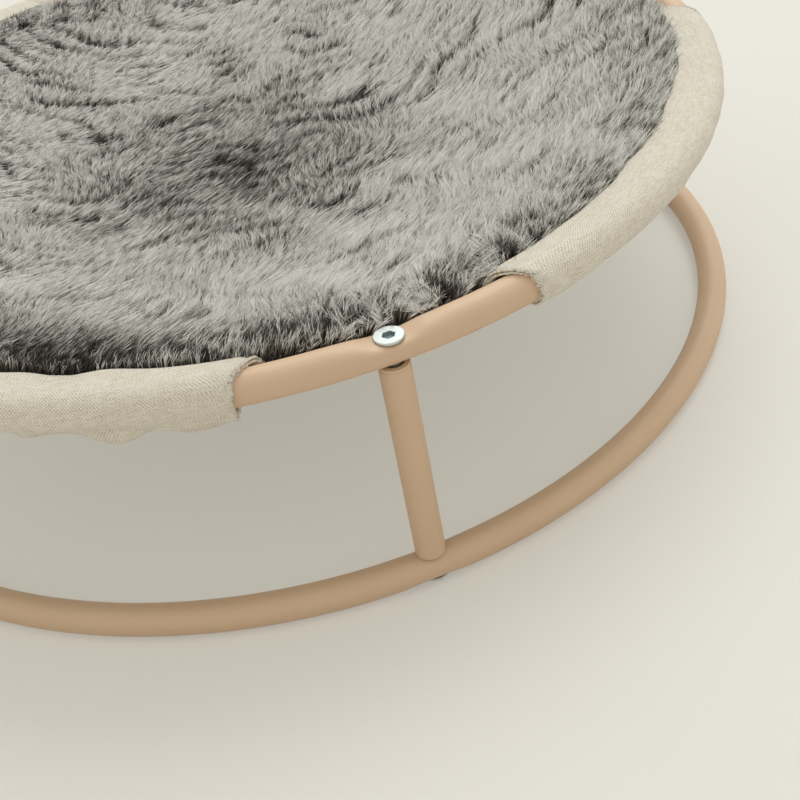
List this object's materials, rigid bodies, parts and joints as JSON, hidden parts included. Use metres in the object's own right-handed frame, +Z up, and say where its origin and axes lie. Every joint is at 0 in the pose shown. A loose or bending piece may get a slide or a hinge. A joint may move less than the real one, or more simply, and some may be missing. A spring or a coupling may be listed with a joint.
{
  "type": "raised round pet bed",
  "caption": "Round raised pet bed: a plush sling with linen sleeves in the upper of two steel tube hoops joined by bolted posts.",
  "frame": {"origin": "on the floor, below the middle of the hoops", "axes": "+Z up; the front post stands on -Y, the right post on +X"},
  "size_m": [0.4198, 0.4198, 0.1088],
  "materials": {
    "powder_coat": "satin sand-coloured powder coat",
    "zinc_plate": "bright zinc plate",
    "dark_steel": "blackened steel",
    "linen": "plain-woven natural linen",
    "strip_nylon": "beige hook and loop strip",
    "wadding": "white polyester wadding",
    "plush": "long-pile plush, dark roots and pale tips"
  },
  "bodies": {
    "root": {"upper_ring": "powder_coat", "lower_ring": "powder_coat", "post_right": "powder_coat", "post_back": "powder_coat", "post_left": "powder_coat", "post_front": "powder_coat", "top_bolt_right": "zinc_plate", "top_bolt_back": "zinc_plate", "top_bolt_left": "zinc_plate", "top_bolt_front": "zinc_plate", "bottom_bolt_right": "zinc_plate", "bottom_bolt_back": "zinc_plate", "bottom_bolt_left": "zinc_plate", "bottom_bolt_front": "zinc_plate", "top_insert_right": "dark_steel", "top_insert_back": "dark_steel", "top_insert_left": "dark_steel", "top_insert_front": "dark_steel", "bottom_insert_right": "dark_steel", "bottom_insert_back": "dark_steel", "bottom_insert_left": "dark_steel", "bottom_insert_front": "dark_steel", "sleeve_back_right": "linen", "sleeve_back_left": "linen", "sleeve_front_left": "linen", "sleeve_front_right": "linen", "loop_strip_back_right": "strip_nylon", "loop_strip_back_left": "strip_nylon", "loop_strip_front_left": "strip_nylon", "loop_strip_front_right": "strip_nylon", "hook_strip_back_right": "strip_nylon", "hook_strip_back_left": "strip_nylon", "hook_strip_front_left": "strip_nylon", "hook_strip_front_right": "strip_nylon", "sling_underside": "linen", "wadding": "wadding", "plush_top": "plush"}
  },
  "joints": []
}
